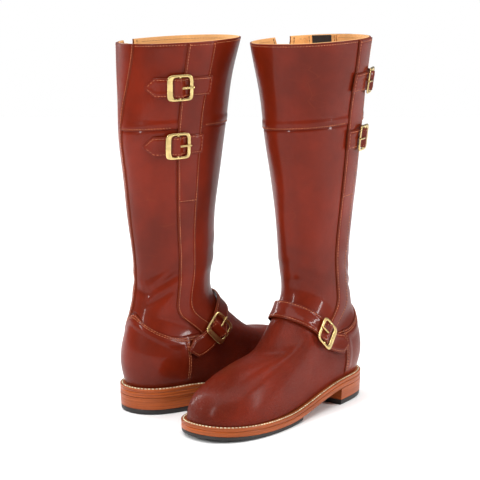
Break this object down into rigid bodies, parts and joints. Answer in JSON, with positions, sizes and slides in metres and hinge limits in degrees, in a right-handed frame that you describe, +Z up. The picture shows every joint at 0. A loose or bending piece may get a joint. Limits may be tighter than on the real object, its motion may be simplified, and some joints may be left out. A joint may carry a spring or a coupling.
{
  "type": "pair of riding boots",
  "caption": "Knee-high leather riding boots, a standing pair, with buckled straps, an inner side zip, tan lining, stitched welt and stacked heel.",
  "frame": {"origin": "on the ground, at the centre of the box around the standing pair", "axes": "+Z up; the right boot stands at -X with its toe away to the back, the left boot at +X with its toe to the front at -Y"},
  "size_m": [0.2932, 0.332, 0.4245],
  "materials": {
    "chestnut_leather": "polished chestnut-brown calf leather, fine grain, soft creases",
    "lining_leather": "matt tan lining leather",
    "sole_leather": "dyed and waxed leather edge, stacked layers",
    "sole_rubber": "matt black rubber",
    "buckle_brass": "polished pale gold metal",
    "elastic_web": "ribbed black elastic web",
    "shank_steel": "plain steel strip"
  },
  "bodies": {
    "left_boot": {"left_heel_cap": "sole_rubber", "left_heel_stack": "sole_leather", "left_forefoot_rubber": "sole_rubber", "left_outsole": "sole_leather", "left_welt": "sole_leather", "left_shank": "shank_steel", "left_insole": "lining_leather", "left_vamp": "chestnut_leather", "left_heel_counter": "chestnut_leather", "left_shaft_front": "chestnut_leather", "left_shaft_rear": "chestnut_leather", "left_cuff_front": "chestnut_leather", "left_cuff_rear": "chestnut_leather", "left_side_strip": "chestnut_leather", "left_closure_flap": "chestnut_leather", "left_back_stay": "chestnut_leather", "left_lining": "lining_leather", "left_elastic_gore": "elastic_web", "left_upper_strap": "chestnut_leather", "left_lower_strap": "chestnut_leather", "left_ankle_strap": "chestnut_leather", "left_upper_buckle": "buckle_brass", "left_lower_buckle": "buckle_brass", "left_ankle_buckle": "buckle_brass", "left_zip_chain": "buckle_brass"},
    "left_upper_prong": {"left_upper_prong": "buckle_brass"},
    "left_lower_prong": {"left_lower_prong": "buckle_brass"},
    "left_ankle_prong": {"left_ankle_prong": "buckle_brass"},
    "left_zip_slider": {"left_zip_slider": "buckle_brass"},
    "left_zip_pull": {"left_zip_pull": "buckle_brass"},
    "right_boot": {"right_heel_cap": "sole_rubber", "right_heel_stack": "sole_leather", "right_forefoot_rubber": "sole_rubber", "right_outsole": "sole_leather", "right_welt": "sole_leather", "right_shank": "shank_steel", "right_insole": "lining_leather", "right_vamp": "chestnut_leather", "right_heel_counter": "chestnut_leather", "right_shaft_front": "chestnut_leather", "right_shaft_rear": "chestnut_leather", "right_cuff_front": "chestnut_leather", "right_cuff_rear": "chestnut_leather", "right_side_strip": "chestnut_leather", "right_closure_flap": "chestnut_leather", "right_back_stay": "chestnut_leather", "right_lining": "lining_leather", "right_elastic_gore": "elastic_web", "right_upper_strap": "chestnut_leather", "right_lower_strap": "chestnut_leather", "right_ankle_strap": "chestnut_leather", "right_upper_buckle": "buckle_brass", "right_lower_buckle": "buckle_brass", "right_ankle_buckle": "buckle_brass", "right_zip_chain": "buckle_brass"},
    "right_upper_prong": {"right_upper_prong": "buckle_brass"},
    "right_lower_prong": {"right_lower_prong": "buckle_brass"},
    "right_ankle_prong": {"right_ankle_prong": "buckle_brass"},
    "right_zip_slider": {"right_zip_slider": "buckle_brass"},
    "right_zip_pull": {"right_zip_pull": "buckle_brass"}
  },
  "joints": [
    {"name": "right_boot_lift", "type": "slide", "parent": "left_boot", "child": "right_boot", "axis": [0, 0, 1], "range_m": [0, 0.1]},
    {"name": "left_upper_prong_lift", "type": "hinge", "parent": "left_boot", "child": "left_upper_prong", "pos_m": [0.14098, 0.01339, 0.37352], "axis": [0.1263, -0.0008, 0.992], "range_deg": [0, 100]},
    {"name": "left_lower_prong_lift", "type": "hinge", "parent": "left_boot", "child": "left_lower_prong", "pos_m": [0.13387, 0.01558, 0.30781], "axis": [0.0985, -0.0105, 0.9951], "range_deg": [0, 100]},
    {"name": "left_ankle_prong_lift", "type": "hinge", "parent": "left_boot", "child": "left_ankle_prong", "pos_m": [0.09293, -0.03268, 0.09028], "axis": [0.3374, 0.627, 0.7022], "range_deg": [0, 100]},
    {"name": "left_zip_run", "type": "slide", "parent": "left_boot", "child": "left_zip_slider", "axis": [0.0892, -0.0692, -0.9936], "range_m": [0, 0.172]},
    {"name": "left_pull_swing", "type": "hinge", "parent": "left_zip_slider", "child": "left_zip_pull", "pos_m": [0.04077, 0.07147, 0.38348], "axis": [0.8025, 0.5959, 0.0306], "range_deg": [0, 150]},
    {"name": "right_upper_prong_lift", "type": "hinge", "parent": "right_boot", "child": "right_upper_prong", "pos_m": [-0.0719, -0.05699, 0.37352], "axis": [-0.0114, 0.1258, -0.992], "range_deg": [0, 100]},
    {"name": "right_lower_prong_lift", "type": "hinge", "parent": "right_boot", "child": "right_lower_prong", "pos_m": [-0.07468, -0.05008, 0.30781], "axis": [-0.0187, 0.0972, -0.9951], "range_deg": [0, 100]},
    {"name": "right_ankle_prong_lift", "type": "hinge", "parent": "right_boot", "child": "right_ankle_prong", "pos_m": [-0.03001, -0.00525, 0.09028], "axis": [0.5965, 0.3886, -0.7022], "range_deg": [0, 100]},
    {"name": "right_zip_run", "type": "slide", "parent": "right_boot", "child": "right_zip_slider", "axis": [0.0764, -0.0831, -0.9936], "range_m": [0, 0.172]},
    {"name": "right_pull_swing", "type": "hinge", "parent": "right_zip_slider", "child": "right_zip_pull", "pos_m": [-0.13816, 0.03802, 0.38348], "axis": [0.5267, 0.8495, -0.0306], "range_deg": [0, 150]}
  ]
}
